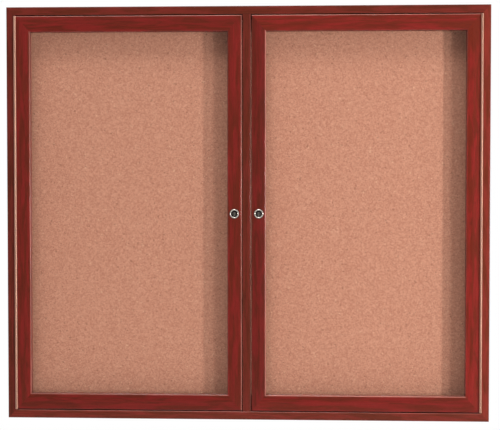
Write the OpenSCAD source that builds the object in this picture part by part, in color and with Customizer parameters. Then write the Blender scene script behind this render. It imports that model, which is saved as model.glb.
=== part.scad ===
// Enclosed notice board with two glazed doors, each on a piano hinge and with a cam lock.
// X runs across the board, Y runs back into the wall and Z runs up.
// The origin is the centre of the back, where it lies on the wall. Sizes are in millimetres.

/* [Cabinet] */
// Width over the cabinet's sides
board_w = 1067; // [800:1:1500]
// Height over the cabinet's rails
board_h = 914; // [600:1:1300]
// Depth from the wall to the front of the doors
board_d = 70; // [66:1:110]
// Thickness of the cabinet's sides and rails
frame_t = 18; // [16:0.5:26]
// Width of the fixed mullion between the doors
mullion_w = 18; // [17:0.5:40]
// Radius along the front edges of the wooden members
edge_r = 1.5; // [0.5:0.1:2.5]
// Diameter of the dowels that join the mullion to the rails
dowel_d = 6; // [4:0.5:8]
// Depth of a dowel in the rail
dowel_in_rail = 12; // [8:1:14]
// Depth of a dowel in the mullion
dowel_in_mullion = 14; // [8:1:30]
// Thickness of the plywood splines in the cabinet's mitres
spline_t = 4; // [2:0.5:5]
// Width of those splines across the mitre
spline_w = 12; // [8:1:14]
// Length of those splines from front to back
spline_l = 36; // [20:1:40]
// Distance of those splines behind the cabinet's front
spline_inset = 8; // [4:1:12]

/* [Back and cork] */
// Thickness of the hardboard back panel
back_t = 5; // [3:0.5:9]
// Thickness of the soft fibreboard that takes the pins
backing_t = 10; // [6:0.5:12]
// Thickness of the cork sheet
cork_t = 4; // [2:0.5:6]
// Width of the rebate in the cabinet members that takes the back
back_rebate_w = 9; // [7:0.5:10]
// Clearance of the panels in the rebate and of the cork in the opening
panel_clear = 0.5; // [0.1:0.1:1.5]
// Screws along each rail
back_screws_x = 5; // [3:1:9]
// Screws along each side
back_screws_z = 4; // [2:1:8]
// Distance of a rail's last screw from the board's side
back_screw_end_x = 72; // [50:1:120]
// Distance of a side's last screw from the board's top or bottom
back_screw_end_z = 108; // [50:1:160]
// Shank diameter of the back screws
back_screw_d = 3.5; // [2.5:0.1:4]
// Head diameter of the back screws
back_screw_head_d = 7; // [5:0.5:8]
// Length of the back screws
back_screw_l = 30; // [22:1:40]
// Diameter of the four holes for the wall screws
mount_hole_d = 5.5; // [4:0.1:7]
// Distance of those holes from the inner faces of the cabinet
mount_edge = 20; // [18:1:28]

/* [Door stops] */
// Height of the stop strips on the rails
stop_h = 10; // [8:0.5:12]
// Depth of the stop strips
stop_d = 9; // [6:0.5:12]
// Diameter of the felt bumpers
bumper_d = 7; // [4:0.5:7.5]
// Thickness of the felt bumpers
bumper_t = 2.2; // [1:0.1:3]
// Gap between a bumper and the closed door
bumper_clear = 0.3; // [0.2:0.1:0.6]
// Distance of a bumper from the door's edge
bumper_inset = 20; // [12:1:60]

/* [Doors] */
// Thickness of the doors
door_t = 19; // [17:0.5:24]
// Width of the upright stiles
stile_w = 31.5; // [29:0.5:60]
// Width of the rails across
rail_w = 35; // [30:0.5:70]
// Gap around a door, except at its hinge
door_gap = 2; // [1.5:0.1:4]
// Flat part of a stile, before the bevel
stile_flat = 18; // [12:0.5:24]
// How far the bevel falls
bevel_drop = 1.3; // [0.8:0.1:5]
// Width of the rounded lip inside the bevel
lip_w = 3.2; // [2.5:0.1:5]
// Radius of the lip
lip_r = 2.5; // [1:0.1:3]
// Depth from the door's front to the pane
pane_at = 8.5; // [7:0.5:10]
// Thickness of the pane
pane_t = 3; // [2:0.5:4]
// Width of the rebate for the pane
pane_rebate_w = 5.5; // [4:0.5:6]
// Clearance of the pane in its rebate
pane_clear = 0.5; // [0.2:0.1:1]
// Clearance of the glazing beads in the rebate
bead_clear = 0.1; // [0.05:0.05:0.3]
// Diameter of the brads in the beads
brad_d = 1.2; // [0.8:0.1:1.6]
// Length of the brads
brad_l = 14; // [10:1:18]
// Brads in each bead
brads = 4; // [2:1:8]
// Thickness of the splines in the doors' mitres
door_spline_t = 3; // [2:0.5:4]
// Length of those splines along the mitre
door_spline_l = 12; // [8:1:14]
// Width of those splines across the mitre
door_spline_w = 16; // [10:1:18]

/* [Piano hinges] */
// Diameter of the knuckles
knuckle_d = 5.5; // [5:0.1:7]
// Diameter of the hinge pin
hinge_pin_d = 3; // [2:0.1:3.4]
// Radial clearance of the pin in the knuckles
pin_clear = 0.05; // [0.02:0.01:0.1]
// Length of a knuckle with its gap, made a little longer so that whole pairs fill the hinge
knuckle_pitch = 12.7; // [10:0.1:30]
// Gap between two knuckles
knuckle_gap = 0.3; // [0.2:0.1:0.6]
// Thickness of a leaf
leaf_t = 1; // [0.8:0.1:1.4]
// Gap between the two leaves when the door is shut
leaf_gap = 0.5; // [0.3:0.1:1]
// Depth of a leaf behind the hinge's axis
leaf_w = 15.5; // [13:0.5:17]
// Distance of the hinge's axis in front of the doors' faces
hinge_forward = 2.6; // [2.2:0.1:4]
// Spacing of the hinge screws
hinge_screw_pitch = 50.8; // [25:0.1:100]
// Least distance of a hinge screw from the hinge's end
hinge_screw_end = 20; // [8:1:40]
// Distance of the hinge screws behind the axis
hinge_screw_at = 9.4; // [7:0.1:10]
// Shank diameter of the hinge screws
hinge_screw_d = 2.8; // [2:0.1:3.2]
// Head diameter of the hinge screws
hinge_screw_head_d = 5.4; // [4.5:0.1:6]
// Length of the hinge screws
hinge_screw_l = 12; // [8:0.5:13]

/* [Cam locks] */
// Distance of a lock's axis from the door's edge
lock_inset = 16; // [14:0.5:17]
// Diameter of the lock's face
lock_face_d = 21.6; // [19:0.2:24]
// Diameter of the threaded body
lock_body_d = 17; // [15:0.5:19]
// Width of the body over its two flats
lock_flats = 15; // [14:0.5:16]
// Diameter of the turning plug
plug_d = 11.8; // [10:0.1:12]
// Diameter of the plug's raised face with the keyway
plug_face_d = 9.4; // [8.6:0.1:10.4]
// Depth of the sunk ring round that face
plug_sunk = 1.2; // [0.6:0.1:2]
// Radial clearance of the plug in the body
plug_clear = 0.06; // [0.02:0.01:0.1]
// Width of the nut over its flats
lock_nut_af = 21; // [20:0.5:24]
// Thickness of the nut
lock_nut_t = 3; // [2:0.5:4]
// Length of the cam from the lock's axis to its tip
cam_l = 26; // [24:0.5:26.5]
// Width of the cam
cam_w = 15; // [13:0.5:18]
// Thickness of the cam
cam_t = 2; // [1.5:0.1:2.5]
// Gap between the locked cam and the back of the mullion
cam_gap = 0.5; // [0.3:0.1:1.5]
// Width of the keyway
keyway_w = 2; // [1.2:0.1:2.4]
// Height of the keyway
keyway_h = 7.4; // [5:0.1:8]
// Number of wafers in a plug
wafers = 5; // [3:1:6]

/* [Hidden] */
$fn = 48;
big = 3000;
fit = 0.05;
seat = 0.15;
wood = "#7c2a21";
frame_wood = "#70291f";
raw_wood = "#c9a06b";
cork = "#c48c74";
brass = "#d9b08c";
steel = "#b9bcc0";
chrome = "#d4d6d8";

// Space between the leaves' outer faces, which is also the gap at the hinge
hinge_gap = 2 * leaf_t + leaf_gap;
back_stack = back_t + backing_t;
inner_w = board_w - 2 * frame_t;
inner_h = board_h - 2 * frame_t;
back_w = inner_w + 2 * (back_rebate_w - panel_clear);
back_h = inner_h + 2 * (back_rebate_w - panel_clear);
door_w = (inner_w - mullion_w) / 2 - hinge_gap - door_gap;
door_h = inner_h - 2 * door_gap;
door_cx = -(mullion_w / 2 + door_gap + door_w / 2);
// A rail's front is the stile's front stretched to its width, so that the mouldings meet in the mitre
rail_flat = stile_flat * rail_w / stile_w;
rail_lip_w = lip_w * rail_w / stile_w;
pane_w = door_w - 2 * (stile_w - pane_rebate_w + pane_clear);
pane_h = door_h - 2 * (rail_w - pane_rebate_w + pane_clear);

hinge_x = -(inner_w / 2 - hinge_gap / 2);
hinge_y = -board_d - hinge_forward;
hinge_l = door_h;
hinge_pairs = floor(hinge_l / (2 * knuckle_pitch));
real_pitch = hinge_l / (2 * hinge_pairs);
knuckle_clear = 0.35;
leaf_start = knuckle_d / 2 + knuckle_clear;
hinge_screws = floor((hinge_l - 2 * hinge_screw_end) / hinge_screw_pitch) + 1;
hinge_screw_zs = [for (i = [0 : hinge_screws - 1]) (i - (hinge_screws - 1) / 2) * hinge_screw_pitch];
pin_chamfer = 0.4;

// The nut closes on the door's back, and the body ends flush with the mullion's back
lock_body_l = door_t + lock_nut_t + 2;
mullion_d = lock_body_l;
lock_x = -(mullion_w / 2 + door_gap + lock_inset);
lock_base_t = 0.8;
lock_bead_r = 1.3;
lock_bead_at = lock_face_d / 2 - 2.1;
plug_head_d = plug_d + 1.4;
plug_head_t = 0.5;
plug_head_clear = 0.1;
plug_face = 1;
spigot_w = 7;
cam_screw_d = 4;
cam_screw_l = 8;
cam_screw_af = 7;
cam_screw_head_t = 1.8;
cam_washer_d = 11;
cam_washer_t = 0.8;
cam_front = lock_body_l + cam_gap;
wafer_t = 1;
wafer_w = 6.6;
wafer_h = 9.6;
wafer_pitch = 3;
wafer_first = 5;
// Depths of the wafers behind the door's face
wafer_zs = [for (i = [0 : wafers - 1]) -wafer_first - i * wafer_pitch];

stop_front = door_t + bumper_clear + bumper_t;
dowel_spread = mullion_d / 2 - dowel_d;
mount_x = inner_w / 2 - mount_edge;
mount_z = inner_h / 2 - mount_edge;

// Even places for n things over a span, about the middle
function spread(n, span) = [for (i = [0 : n - 1]) span * (i / (n - 1) - 0.5)];

// Everything is drawn for the left door, and the right one is its mirror image
module on_side(side) {
    if (side == "left") children();
    else mirror([1, 0, 0]) children();
}

// What rounding takes off a square corner at the origin, with the solid in +X and +Y
module corner_waste(r) {
    difference() {
        translate([-1, -1]) square(r + 1);
        translate([r, r]) circle(r);
    }
}

// A bar along Z with its outer edge on X = 0 and its ends mitred to meet bars of another width
module mitred_bar(len, wid, other_wid) {
    intersection() {
        translate([0, 0, -len / 2]) linear_extrude(len) children();
        rotate([90, 0, 0]) linear_extrude(big, center = true)
            polygon([[0, -len / 2], [0, len / 2], [wid, len / 2 - other_wid], [wid, other_wid - len / 2]]);
    }
}

// One of the four members of a frame w wide and h high, from its profile:
// X in the profile runs in from the outer edge, and Y runs back from the front.
// Each bar's ends are cut short by the gap
module frame_member(place, w, h, upright_w, across_w, gap = 0) {
    upright = h - 2 * gap;
    across = w - 2 * gap;
    if (place == "left")
        translate([-w / 2, 0, 0]) mitred_bar(upright, upright_w, across_w) children();
    if (place == "right")
        mirror([1, 0, 0]) translate([-w / 2, 0, 0]) mitred_bar(upright, upright_w, across_w) children();
    if (place == "top")
        translate([0, 0, h / 2]) rotate([0, 90, 0]) mitred_bar(across, across_w, upright_w) children();
    if (place == "bottom")
        mirror([0, 0, 1]) translate([0, 0, h / 2]) rotate([0, 90, 0])
            mitred_bar(across, across_w, upright_w) children();
}

// A countersunk screw along -Z, its head flush with Z = 0 and a cross recess in it
module wood_screw(d, head_d, len) {
    head_l = (head_d - d) / 2;
    difference() {
        union() {
            translate([0, 0, -head_l]) cylinder(d1 = d, d2 = head_d, h = head_l);
            translate([0, 0, d - len]) cylinder(d = d, h = len - d - head_l);
            translate([0, 0, -len]) cylinder(d1 = 0.4, d2 = d, h = d);
        }
        for (a = [0, 90]) rotate([0, 0, a]) translate([-head_d * 0.3, -head_d * 0.05, -head_d * 0.2])
            cube([head_d * 0.6, head_d * 0.1, head_d]);
    }
}

// The hole that such a screw lies in
module screw_hole(d, head_d, len) {
    head_l = (head_d - d) / 2;
    translate([0, 0, -len - fit]) cylinder(d = d + 2 * fit, h = len + 1);
    translate([0, 0, -head_l]) cylinder(d1 = d + 2 * fit, d2 = head_d + 2 * fit, h = head_l);
    cylinder(d = head_d + 2 * fit, h = 1);
}

// Places of the screws that hold the back, with their heads on the wall face
module at_back_screws() {
    x = inner_w / 2 + back_rebate_w / 2;
    z = inner_h / 2 + back_rebate_w / 2;
    for (s = [-1, 1]) {
        for (px = spread(back_screws_x, board_w - 2 * back_screw_end_x))
            translate([px, 0, s * z]) rotate([-90, 0, 0]) children();
        for (pz = spread(back_screws_z, board_h - 2 * back_screw_end_z))
            translate([s * x, 0, pz]) rotate([-90, 0, 0]) children();
    }
}

module at_mount_holes() {
    for (sx = [-1, 1], sz = [-1, 1])
        translate([sx * mount_x, 0, sz * mount_z]) rotate([90, 0, 0]) children();
}

// The plywood spline in the cabinet's top left mitre
module cabinet_spline(clear) {
    translate([-board_w / 2 + frame_t / 2, -board_d + spline_inset, board_h / 2 - frame_t / 2]) rotate([0, 45, 0])
        translate([-spline_t / 2 - clear, -clear, -spline_w / 2 - clear])
            cube([spline_t + 2 * clear, spline_l + 2 * clear, spline_w + 2 * clear]);
}

module at_four_corners() {
    for (sx = [0, 1], sz = [0, 1]) mirror([sx, 0, 0]) mirror([0, 0, sz]) children();
}

// Dowels of the mullion, seen as if they stood at its top end
module mullion_dowel_pair(clear) {
    for (s = [-1, 1])
        translate([0, -board_d + mullion_d / 2 + s * dowel_spread, inner_h / 2 - dowel_in_mullion - clear])
            cylinder(d = dowel_d + 2 * clear, h = dowel_in_mullion + dowel_in_rail + 2 * clear);
}

module cabinet_profile() {
    difference() {
        square([frame_t, board_d]);
        corner_waste(edge_r);
        translate([frame_t, 0]) mirror([1, 0]) corner_waste(edge_r);
        translate([frame_t - back_rebate_w, board_d - back_stack])
            square([back_rebate_w + 1, back_stack + 1]);
    }
}

module cabinet_member(place) {
    color(frame_wood) difference() {
        translate([0, -board_d, 0])
            frame_member(place, board_w, board_h, frame_t, frame_t) cabinet_profile();
        at_back_screws() screw_hole(back_screw_d, back_screw_head_d, back_screw_l);
        at_four_corners() cabinet_spline(fit);
        if (place == "top") mullion_dowel_pair(fit);
        if (place == "bottom") mirror([0, 0, 1]) mullion_dowel_pair(fit);
        if (place == "left" || place == "right") on_side(place) at_hinge_screws("frame") hinge_screw_hole();
    }
}

module centre_mullion() {
    color(frame_wood) difference() {
        translate([-mullion_w / 2, -board_d, -inner_h / 2]) linear_extrude(inner_h) difference() {
            square([mullion_w, mullion_d]);
            corner_waste(edge_r);
            translate([mullion_w, 0]) mirror([1, 0]) corner_waste(edge_r);
        }
        mullion_dowel_pair(fit);
        mirror([0, 0, 1]) mullion_dowel_pair(fit);
    }
}

module mullion_dowels() {
    color(raw_wood) for (s = [0, 1]) mirror([0, 0, s]) mullion_dowel_pair(0);
}

module cabinet_corner_splines() {
    color(raw_wood) at_four_corners() cabinet_spline(0);
}

// A panel of the back, from one depth ahead of the wall to the next
module back_sheet(w, h, near, far) {
    translate([-w / 2, -far, -h / 2]) cube([w, far - near, h]);
}

module back_panel() {
    color("#8a6a4c") difference() {
        back_sheet(back_w, back_h, 0, back_t);
        at_back_screws() screw_hole(back_screw_d, back_screw_head_d, back_screw_l);
        at_mount_holes() translate([0, 0, -1]) cylinder(d = mount_hole_d, h = back_t + 2);
    }
}

module backing_board() {
    color("#b9a68c") difference() {
        back_sheet(back_w, back_h, back_t, back_stack);
        at_back_screws() screw_hole(back_screw_d, back_screw_head_d, back_screw_l);
        at_mount_holes() cylinder(d = mount_hole_d, h = back_stack + 1);
    }
}

module cork_sheet() {
    color(cork) difference() {
        back_sheet(inner_w - 2 * panel_clear, inner_h - 2 * panel_clear, back_stack, back_stack + cork_t);
        at_mount_holes() cylinder(d = mount_hole_d, h = back_stack + cork_t + 1);
    }
}

module back_panel_screws() {
    color(steel) at_back_screws() wood_screw(back_screw_d, back_screw_head_d, back_screw_l);
}

// The two strips on one rail that the doors close against
module door_stops(place) {
    color(frame_wood) mirror([0, 0, place == "top" ? 0 : 1]) for (side = ["left", "right"]) on_side(side)
        translate([-inner_w / 2, -board_d + stop_front, inner_h / 2 - stop_h])
            cube([inner_w / 2 - mullion_w / 2, stop_d, stop_h]);
}

module stop_bumpers() {
    low_edge = inner_h / 2 - stop_h;
    bumper_z = (low_edge + door_h / 2) / 2;
    color("#3a3a3c") for (side = ["left", "right"], s = [0, 1], e = [-1, 1])
        on_side(side) mirror([0, 0, s])
            translate([door_cx + e * (door_w / 2 - bumper_inset), -board_d + stop_front, bumper_z])
                rotate([90, 0, 0]) cylinder(d = bumper_d, h = bumper_t);
}

// The hinge is drawn about its axis, with X to the door and Y back into the gap
module at_hinge_axis() {
    translate([hinge_x, hinge_y, 0]) children();
}

// Screws of one leaf of the left hinge: the frame's leaf is on the -X side
module at_hinge_screws(leaf) {
    s = leaf == "frame" ? -1 : 1;
    for (z = hinge_screw_zs)
        at_hinge_axis() translate([s * leaf_gap / 2, hinge_screw_at, z]) rotate([0, -s * 90, 0]) children();
}

module hinge_screw_hole() {
    screw_hole(hinge_screw_d, hinge_screw_head_d, hinge_screw_l);
}

module leaf_plate(s, from) {
    translate([s > 0 ? leaf_gap / 2 : -leaf_gap / 2 - leaf_t, from]) square([leaf_t, leaf_w - from]);
}

// A leaf with every second knuckle of the hinge
module hinge_leaf(side, leaf) {
    s = leaf == "frame" ? -1 : 1;
    first = leaf == "frame" ? 0 : 1;
    color(brass) on_side(side) difference() {
        at_hinge_axis() difference() {
            union() {
                translate([0, 0, -hinge_l / 2]) linear_extrude(hinge_l) leaf_plate(s, leaf_start);
                for (i = [0 : hinge_pairs - 1])
                    translate([0, 0, -hinge_l / 2 + (2 * i + first) * real_pitch + knuckle_gap / 2])
                        linear_extrude(real_pitch - knuckle_gap) {
                            circle(d = knuckle_d);
                            leaf_plate(s, 0);
                        }
            }
            cylinder(d = hinge_pin_d + 2 * pin_clear, h = hinge_l + 2, center = true);
        }
        at_hinge_screws(leaf) hinge_screw_hole();
    }
}

module hinge_screws_of(side, leaf) {
    color(brass) on_side(side) at_hinge_screws(leaf)
        wood_screw(hinge_screw_d, hinge_screw_head_d, hinge_screw_l);
}

module hinge_pin(side) {
    color(steel) on_side(side) at_hinge_axis() {
        cylinder(d = hinge_pin_d, h = hinge_l - 2 * pin_chamfer, center = true);
        for (s = [0, 1]) mirror([0, 0, s]) translate([0, 0, hinge_l / 2 - pin_chamfer])
            cylinder(d1 = hinge_pin_d, d2 = hinge_pin_d - 2 * pin_chamfer, h = pin_chamfer);
    }
}

// Section of a door's stile or rail: flat, bevel, rounded lip, and the pane's rebate behind
module door_profile(w, flat, lip) {
    difference() {
        polygon([[0, 0], [flat, 0], [w - lip, bevel_drop], [w, bevel_drop], [w, door_t], [0, door_t]]);
        corner_waste(edge_r);
        translate([w, bevel_drop]) mirror([1, 0]) corner_waste(lip_r);
        translate([w - pane_rebate_w, pane_at]) square([pane_rebate_w + 1, door_t]);
    }
}

module at_door() {
    translate([door_cx, -board_d, 0]) children();
}

// The spline in the door's top left mitre, which lies along the line through both corners
module door_spline(clear) {
    slope = atan2(rail_w, stile_w);
    reach = (stile_w - pane_rebate_w) / 2;
    spline_y = (pane_at + pane_t + door_t) / 2 - door_spline_t / 2 - clear;
    translate([-door_w / 2 + reach, spline_y, door_h / 2 - reach * tan(slope)]) rotate([0, slope, 0])
        translate([-door_spline_l / 2 - clear, 0, -door_spline_w / 2 - clear])
            cube([door_spline_l + 2 * clear, door_spline_t + 2 * clear, door_spline_w + 2 * clear]);
}

// The round body with two flats, along -Z from the door's face
module lock_barrel(len, clear) {
    intersection() {
        translate([0, 0, -len]) cylinder(d = lock_body_d + 2 * clear, h = len);
        translate([-lock_flats / 2 - clear, -lock_body_d, -len])
            cube([lock_flats + 2 * clear, 2 * lock_body_d, len]);
    }
}

// Places a lock, drawn with Z out of the door's face and Y up
module at_lock() {
    translate([lock_x, -board_d, 0]) rotate([90, 0, 0]) children();
}

// Brads through one bead of the door, drawn for the left bead
module at_brads() {
    bead_x = door_w / 2 - stile_w;
    bead_z = door_h / 2 - rail_w;
    brad_y = (pane_at + pane_t + door_t) / 2 + door_spline_t;
    for (s = [-1, 1]) {
        for (z = spread(brads, pane_h * 0.8))
            translate([s * bead_x, brad_y, z]) rotate([0, s * 90, 0]) children();
        for (x = spread(brads, pane_w * 0.8))
            translate([x, brad_y, s * bead_z]) rotate([s > 0 ? 0 : 180, 0, 0]) children();
    }
}

module door_member(side, place) {
    upright = place == "left" || place == "right";
    w = upright ? stile_w : rail_w;
    flat = upright ? stile_flat : rail_flat;
    lip = upright ? lip_w : rail_lip_w;
    color(wood) on_side(side) difference() {
        at_door() frame_member(place, door_w, door_h, stile_w, rail_w) door_profile(w, flat, lip);
        at_door() at_four_corners() door_spline(fit);
        at_door() at_brads() cylinder(d = brad_d + 2 * fit, h = brad_l + fit);
        if (place == "left") at_hinge_screws("door") hinge_screw_hole();
        if (place == "right") at_lock() translate([0, 0, 1]) lock_barrel(door_t + 2, seat);
    }
}

module door_corner_splines(side) {
    color(raw_wood) on_side(side) at_door() at_four_corners() door_spline(0);
}

module door_pane(side) {
    color("#cfe0e0", 0.3) on_side(side) at_door()
        translate([-pane_w / 2, pane_at, -pane_h / 2]) cube([pane_w, pane_t, pane_h]);
}

module glazing_beads(side) {
    bead_w = pane_rebate_w - bead_clear;
    bead_d = door_t - pane_at - pane_t;
    frame_w = door_w - 2 * (stile_w - bead_w);
    frame_h = door_h - 2 * (rail_w - bead_w);
    color(wood) on_side(side) at_door() difference() {
        for (place = ["left", "right", "top", "bottom"])
            translate([0, pane_at + pane_t, 0])
                frame_member(place, frame_w, frame_h, bead_w, bead_w, bead_clear) difference() {
                    square([bead_w, bead_d]);
                    translate([bead_w, bead_d]) mirror([1, 0]) mirror([0, 1]) corner_waste(edge_r);
                }
        at_brads() translate([0, 0, -1]) cylinder(d = brad_d + 2 * fit, h = brad_l + 1);
    }
}

module bead_brads(side) {
    color(steel) on_side(side) at_door() at_brads() cylinder(d = brad_d, h = brad_l);
}

// Body of the lock: a face with a raised bead round its rim, and the barrel behind
module lock_body(side) {
    color(chrome) on_side(side) at_lock() difference() {
        union() {
            rotate_extrude() difference() {
                union() {
                    square([lock_face_d / 2, lock_base_t]);
                    translate([lock_bead_at, lock_base_t]) circle(lock_bead_r);
                }
                translate([0, -lock_face_d]) square(lock_face_d);
            }
            lock_barrel(lock_body_l, 0);
        }
        translate([0, 0, -lock_body_l - 1]) cylinder(d = plug_d + 2 * plug_clear, h = lock_body_l + 5);
        translate([0, 0, -plug_sunk]) cylinder(d = plug_head_d + 2 * plug_clear, h = 5);
    }
}

module lock_nut(side) {
    color(chrome) on_side(side) at_lock() difference() {
        translate([0, 0, -door_t - lock_nut_t]) cylinder(d = lock_nut_af / cos(30), h = lock_nut_t, $fn = 6);
        translate([0, 0, -door_t - lock_nut_t - 1]) cylinder(d = lock_body_d + 2 * fit, h = lock_nut_t + 2);
    }
}

// The plug that the key turns: a raised face with the keyway, a sunk ring round it that stops on the
// body, the wafer slots and a square end for the cam
module lock_plug(side) {
    color(chrome) on_side(side) at_lock() difference() {
        union() {
            translate([0, 0, -cam_front]) cylinder(d = plug_d, h = cam_front - plug_sunk + plug_head_clear);
            translate([0, 0, plug_head_clear - plug_sunk]) cylinder(d = plug_head_d, h = plug_head_t);
            translate([0, 0, -wafer_first]) cylinder(d = plug_face_d, h = wafer_first + plug_face);
            translate([-spigot_w / 2, -spigot_w / 2, -cam_front - cam_t + 0.1])
                cube([spigot_w, spigot_w, cam_t]);
        }
        translate([-keyway_w / 2, -keyway_h / 2, wafer_zs[wafers - 1] - wafer_t])
            cube([keyway_w, keyway_h, cam_front]);
        for (z = wafer_zs) translate([-wafer_w / 2 - fit, -plug_d, z - fit])
            cube([wafer_w + 2 * fit, 2 * plug_d, wafer_t + 2 * fit]);
        translate([0, 0, -cam_front - cam_t - 1]) cylinder(d = cam_screw_d + 2 * fit, h = cam_screw_l + 1);
    }
}

module lock_wafers(side) {
    color(brass) on_side(side) at_lock() for (z = wafer_zs) difference() {
        translate([-wafer_w / 2, -wafer_h / 2, z]) cube([wafer_w, wafer_h, wafer_t]);
        translate([-keyway_w / 2, -keyway_h / 2, z - 1]) cube([keyway_w, keyway_h, wafer_t + 2]);
    }
}

// The cam hangs down while the door is unlocked, and turns up behind the mullion
module lock_cam(side) {
    tip_r = 3;
    color(steel) on_side(side) at_lock() translate([0, 0, -cam_front - cam_t])
        linear_extrude(cam_t) difference() {
            union() {
                circle(d = cam_w);
                translate([-cam_w / 2, tip_r - cam_l]) square([cam_w, cam_l - tip_r]);
                translate([tip_r - cam_w / 2, -cam_l]) square([cam_w - 2 * tip_r, 2 * tip_r]);
                for (s = [-1, 1]) translate([s * (cam_w / 2 - tip_r), tip_r - cam_l]) circle(tip_r);
            }
            square(spigot_w + 2 * seat, center = true);
        }
}

module lock_cam_screw(side) {
    color(steel) on_side(side) at_lock() translate([0, 0, -cam_front - cam_t]) {
        translate([0, 0, -cam_washer_t]) cylinder(d = cam_washer_d, h = cam_washer_t);
        translate([0, 0, -cam_washer_t - cam_screw_head_t])
            cylinder(d = cam_screw_af / cos(30), h = cam_screw_head_t, $fn = 6);
        translate([0, 0, -0.1]) cylinder(d = cam_screw_d, h = cam_screw_l - fit);
    }
}

cabinet_member("top");  // cabinet_top_rail
cabinet_member("bottom");  // cabinet_bottom_rail
cabinet_member("left");  // cabinet_left_side
cabinet_member("right");  // cabinet_right_side
centre_mullion();
mullion_dowels();
cabinet_corner_splines();
back_panel();
backing_board();
cork_sheet();
back_panel_screws();
door_stops("top");  // top_door_stops
door_stops("bottom");  // bottom_door_stops
stop_bumpers();
hinge_leaf("left", "frame");  // left_hinge_frame_leaf
hinge_screws_of("left", "frame");  // left_hinge_frame_screws
hinge_pin("left");  // left_hinge_pin
hinge_leaf("right", "frame");  // right_hinge_frame_leaf
hinge_screws_of("right", "frame");  // right_hinge_frame_screws
hinge_pin("right");  // right_hinge_pin
door_member("left", "top");  // left_door_top_rail
door_member("left", "bottom");  // left_door_bottom_rail
door_member("left", "left");  // left_door_hinge_stile
door_member("left", "right");  // left_door_lock_stile
door_corner_splines("left");  // left_door_corner_splines
door_pane("left");  // left_door_pane
glazing_beads("left");  // left_door_glazing_beads
bead_brads("left");  // left_door_bead_brads
hinge_leaf("left", "door");  // left_hinge_door_leaf
hinge_screws_of("left", "door");  // left_hinge_door_screws
lock_body("left");  // left_lock_body
lock_nut("left");  // left_lock_nut
door_member("right", "top");  // right_door_top_rail
door_member("right", "bottom");  // right_door_bottom_rail
door_member("right", "left");  // right_door_hinge_stile
door_member("right", "right");  // right_door_lock_stile
door_corner_splines("right");  // right_door_corner_splines
door_pane("right");  // right_door_pane
glazing_beads("right");  // right_door_glazing_beads
bead_brads("right");  // right_door_bead_brads
hinge_leaf("right", "door");  // right_hinge_door_leaf
hinge_screws_of("right", "door");  // right_hinge_door_screws
lock_body("right");  // right_lock_body
lock_nut("right");  // right_lock_nut
lock_plug("left");  // left_lock_plug
lock_wafers("left");  // left_lock_wafers
lock_cam("left");  // left_lock_cam
lock_cam_screw("left");  // left_lock_cam_screw
lock_plug("right");  // right_lock_plug
lock_wafers("right");  // right_lock_wafers
lock_cam("right");  // right_lock_cam
lock_cam_screw("right");  // right_lock_cam_screw
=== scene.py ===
import math
from functools import partial
from itertools import count

import bmesh
import bpy
from mathutils import Matrix, Vector, noise


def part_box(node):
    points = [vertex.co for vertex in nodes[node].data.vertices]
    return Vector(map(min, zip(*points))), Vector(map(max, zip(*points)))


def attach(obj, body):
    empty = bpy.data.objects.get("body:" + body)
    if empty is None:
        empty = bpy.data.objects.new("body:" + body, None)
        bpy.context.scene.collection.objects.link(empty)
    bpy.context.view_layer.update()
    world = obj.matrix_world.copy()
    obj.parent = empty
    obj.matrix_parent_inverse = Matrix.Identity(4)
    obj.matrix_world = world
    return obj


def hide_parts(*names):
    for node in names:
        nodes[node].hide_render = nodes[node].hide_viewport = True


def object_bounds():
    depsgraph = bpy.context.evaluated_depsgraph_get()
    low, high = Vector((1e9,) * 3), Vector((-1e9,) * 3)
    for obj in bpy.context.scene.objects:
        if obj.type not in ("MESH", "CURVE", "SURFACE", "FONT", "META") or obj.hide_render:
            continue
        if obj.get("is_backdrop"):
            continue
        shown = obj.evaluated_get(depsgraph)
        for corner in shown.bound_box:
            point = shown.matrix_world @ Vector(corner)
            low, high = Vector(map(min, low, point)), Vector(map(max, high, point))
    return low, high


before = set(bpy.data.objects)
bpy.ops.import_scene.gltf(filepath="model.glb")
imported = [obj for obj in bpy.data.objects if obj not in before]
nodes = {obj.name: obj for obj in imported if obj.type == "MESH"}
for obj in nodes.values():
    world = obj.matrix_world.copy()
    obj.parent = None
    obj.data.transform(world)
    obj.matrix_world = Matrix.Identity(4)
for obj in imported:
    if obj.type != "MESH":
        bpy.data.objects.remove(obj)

scene = bpy.context.scene
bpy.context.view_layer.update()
mm = 0.001
weld = 0.0005 * mm    # points closer than this are one
print("stage: frame loaded,", len(nodes), "nodes")


def hexColour(code):
    channels = [int(code[i:i + 2], 16) / 255 for i in (1, 3, 5)]
    return [c / 12.92 if c <= 0.04045 else ((c + 0.055) / 1.055) ** 2.4 for c in channels] + [1.0]


# Sockets are given by name or number, and take a value, a socket or a node's first output
def addNode(tree, kind, sockets=None, **settings):
    node = tree.nodes.new(kind)
    for name, value in settings.items():
        setattr(node, name, value)
    for key, value in (sockets or {}).items():
        if isinstance(value, bpy.types.Node):
            value = value.outputs[0]
        if isinstance(value, bpy.types.NodeSocket):
            tree.links.new(value, node.inputs[key])
        else:
            node.inputs[key].default_value = value
    return node


# A texture on coordinates divided by the pattern's real size in mm, so that one unit is one period of it
def addPattern(add, kind, sizes, place=None, **sockets):
    if place is None:
        place = add("ShaderNodeTexCoord").outputs["Object"]
    scaled = add("ShaderNodeVectorMath", {0: place, 1: [1 / (s * mm) for s in sizes]}, operation="MULTIPLY")
    return add(kind, {"Vector": scaled, "Scale": 1.0, **sockets})


def setRamp(ramp, stops):
    elements = ramp.color_ramp.elements
    while len(elements) < len(stops):
        elements.new(0.5)
    for element, (place, code) in zip(elements, stops):
        element.position = place
        element.color = hexColour(code)
    return ramp


def newMaterial(name):
    material = bpy.data.materials.new(name)
    material.use_nodes = True
    material.node_tree.nodes.clear()
    return material, partial(addNode, material.node_tree)


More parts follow.
